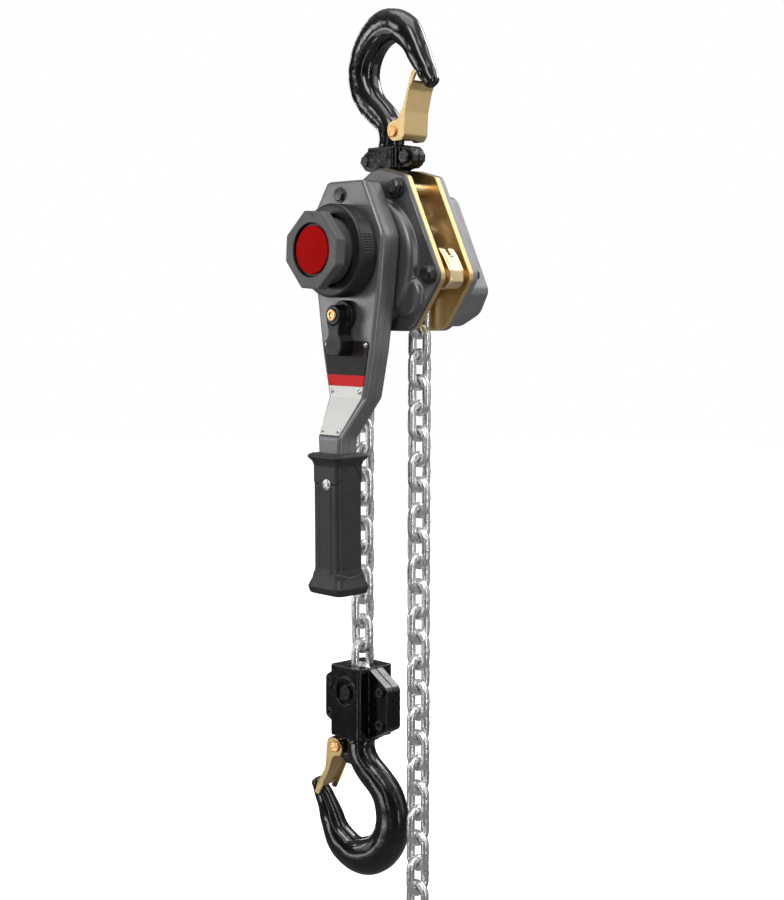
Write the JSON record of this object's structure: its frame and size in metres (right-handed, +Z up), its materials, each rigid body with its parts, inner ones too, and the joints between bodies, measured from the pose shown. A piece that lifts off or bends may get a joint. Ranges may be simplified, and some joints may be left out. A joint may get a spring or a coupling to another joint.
{
  "type": "lever chain hoist",
  "caption": "Hand lever chain hoist: swivel hooks with sprung latches, link chain, load sheave between two plates, ratchet brake, side lever with a grip and a free-chain knob.",
  "frame": {"origin": "bearing point inside the bowl of the top hook", "axes": "+Z up along the hanging hoist, -Y towards the lever and handwheel side, +X towards the free chain"},
  "size_m": [0.1628, 0.1377, 0.7971],
  "materials": {
    "black_enamel": "gloss enamel over rough forging",
    "black_cast": "gloss enamel, cast and machined faces",
    "yellow_zinc": "yellow passivated zinc plate",
    "body_grey": "satin enamel",
    "cover_grey": "satin enamel",
    "brake_cover_grey": "satin enamel",
    "chain_zinc": "bright rough zinc",
    "bright_steel": "machined",
    "gear_steel": "oiled, case hardened",
    "black_fastener": "black oxide",
    "sheave_iron": "as cast, greased",
    "friction_lining": "pressed fibre",
    "bronze": "turned",
    "copper_screw": "yellow zinc screw",
    "spring_wire": "drawn",
    "plate_red_black": "printed black with a red band",
    "plate_silver": "anodised",
    "grip_rubber": "moulded, fine grain",
    "knob_plastic": "moulded, satin",
    "collar_black": "gloss enamel on a knurled casting",
    "cap_red": "gloss",
    "selector_black": "enamel on a casting"
  },
  "bodies": {
    "hook_top": {"top_hook": "black_enamel", "top_latch_pin": "yellow_zinc", "top_latch_spring": "spring_wire"},
    "latch_top": {"top_latch": "yellow_zinc"},
    "yoke": {"yoke_front": "black_cast", "yoke_rear": "black_cast", "yoke_bolts": "black_fastener"},
    "frame": {"suspension_pin": "bright_steel", "side_plate_front": "yellow_zinc", "side_plate_rear": "yellow_zinc", "stay_sleeves": "yellow_zinc", "frame_bolts": "black_fastener", "chain_guide": "yellow_zinc", "brake_cover": "brake_cover_grey", "gear_cover": "cover_grey", "sheave_bearings": "bronze", "pawl_studs": "bright_steel", "pawl_springs": "spring_wire", "load_chain_upper": "chain_zinc", "free_chain_upper": "chain_zinc", "chain_on_sheave": "chain_zinc"},
    "sheave": {"load_sheave": "sheave_iron", "load_gear": "gear_steel"},
    "gear_lower": {"reduction_gear_lower": "gear_steel"},
    "gear_upper": {"reduction_gear_upper": "gear_steel"},
    "drive": {"drive_shaft": "gear_steel", "brake_hub": "gear_steel", "friction_discs": "friction_lining", "change_gear": "gear_steel", "handwheel": "collar_black", "shaft_nut": "gear_steel"},
    "knob": {"knob": "knob_plastic", "knob_cap": "cap_red"},
    "ratchet": {"ratchet_disc": "gear_steel"},
    "pawl_a": {"pawl_a": "gear_steel"},
    "pawl_b": {"pawl_b": "gear_steel"},
    "lever": {"lever_front": "body_grey", "lever_rear": "body_grey", "lever_bolt": "black_fastener", "lever_plate_upper": "plate_red_black", "lever_plate_lower": "plate_silver", "lever_rivets": "bright_steel", "grip": "grip_rubber", "grip_screw": "bright_steel", "selector_spring": "spring_wire"},
    "selector": {"selector_lever": "selector_black", "selector_screw": "copper_screw", "selector_pawl": "gear_steel"},
    "detent": {"selector_detent": "gear_steel"},
    "block": {"load_chain_lower": "chain_zinc", "block_front": "black_cast", "block_rear": "black_cast", "block_bolts": "black_fastener", "chain_pin": "bright_steel"},
    "hook_bottom": {"bottom_hook": "black_enamel", "bottom_latch_pin": "yellow_zinc", "bottom_latch_spring": "spring_wire"},
    "latch_bottom": {"bottom_latch": "yellow_zinc"},
    "free_end": {"free_chain_lower": "chain_zinc", "chain_end_ring": "chain_zinc"}
  },
  "joints": [
    {"name": "top_latch_hinge", "type": "hinge", "parent": "hook_top", "child": "latch_top", "pos_m": [0.0155, 0, -0.07455], "axis": [0, 1, 0], "range_deg": [-48, 0], "stiffness_Nm_per_rad": 0.06},
    {"name": "top_swivel", "type": "hinge", "parent": "hook_top", "child": "yoke", "pos_m": [0, 0, -0.09115], "axis": [0, 0, 1], "continuous": true},
    {"name": "body_swing", "type": "hinge", "parent": "yoke", "child": "frame", "pos_m": [0, 0, -0.11515], "axis": [0, 1, 0], "range_deg": [-20, 20]},
    {"name": "sheave_turn", "type": "hinge", "parent": "frame", "child": "sheave", "pos_m": [0, 0, -0.17215], "axis": [0, 1, 0], "range_deg": [0, 358.47]},
    {"name": "reduction_lower_turn", "type": "hinge", "parent": "frame", "child": "gear_lower", "pos_m": [0.02608, 0, -0.19823], "axis": [0, 1, 0], "continuous": true},
    {"name": "reduction_upper_turn", "type": "hinge", "parent": "frame", "child": "gear_upper", "pos_m": [-0.02608, 0, -0.14608], "axis": [0, 1, 0], "continuous": true},
    {"name": "drive_turn", "type": "hinge", "parent": "frame", "child": "drive", "pos_m": [0, 0, -0.17215], "axis": [0, 1, 0], "continuous": true},
    {"name": "knob_pull", "type": "slide", "parent": "drive", "child": "knob", "axis": [0, -1, 0], "range_m": [0, 0.006], "stiffness_N_per_m": 600},
    {"name": "ratchet_play", "type": "hinge", "parent": "frame", "child": "ratchet", "pos_m": [0, 0, -0.17215], "axis": [0, 1, 0], "range_deg": [-1.5, 4]},
    {"name": "pawl_a_hinge", "type": "hinge", "parent": "frame", "child": "pawl_a", "pos_m": [-0.03618, 0, -0.18532], "axis": [0, 1, 0], "range_deg": [-12, 0], "stiffness_Nm_per_rad": 0.01},
    {"name": "pawl_b_hinge", "type": "hinge", "parent": "frame", "child": "pawl_b", "pos_m": [0.03618, 0, -0.15898], "axis": [0, 1, 0], "range_deg": [-12, 0], "stiffness_Nm_per_rad": 0.01},
    {"name": "lever_turn", "type": "hinge", "parent": "frame", "child": "lever", "pos_m": [0, 0, -0.17215], "axis": [0, 1, 0], "continuous": true},
    {"name": "selector_turn", "type": "hinge", "parent": "lever", "child": "selector", "pos_m": [0, 0, -0.22375], "axis": [0, 1, 0], "range_deg": [-25, 25]},
    {"name": "detent_slide", "type": "slide", "parent": "lever", "child": "detent", "axis": [0, 0, 1], "range_m": [-0.0012, 0], "stiffness_N_per_m": 400, "deforming": ["selector_spring"]},
    {"name": "load_lift", "type": "slide", "parent": "frame", "child": "block", "axis": [0, 0, 1], "range_m": [0, 0.20911], "deforming": ["load_chain_upper", "chain_on_sheave"]},
    {"name": "free_fall", "type": "slide", "parent": "frame", "child": "free_end", "axis": [0, 0, 1], "range_m": [-0.20911, 0], "deforming": ["free_chain_upper"]},
    {"name": "bottom_swivel", "type": "hinge", "parent": "block", "child": "hook_bottom", "pos_m": [-0.034, 0, -0.57215], "axis": [0, 0, 1], "continuous": true},
    {"name": "bottom_latch_hinge", "type": "hinge", "parent": "hook_bottom", "child": "latch_bottom", "pos_m": [-0.05258, -0.00395, -0.59375], "axis": [-0.2079, 0.9781, 0], "range_deg": [-48, 0], "stiffness_Nm_per_rad": 0.06}
  ],
  "couplings": [
    {"joint": "reduction_lower_turn", "follows": "sheave_turn", "ratio": -2.5},
    {"joint": "reduction_upper_turn", "follows": "sheave_turn", "ratio": -2.5},
    {"joint": "drive_turn", "follows": "sheave_turn", "ratio": 9.7917},
    {"joint": "load_lift", "follows": "sheave_turn", "m_per_rad": 0.033423},
    {"joint": "free_fall", "follows": "sheave_turn", "m_per_rad": -0.033423}
  ]
}
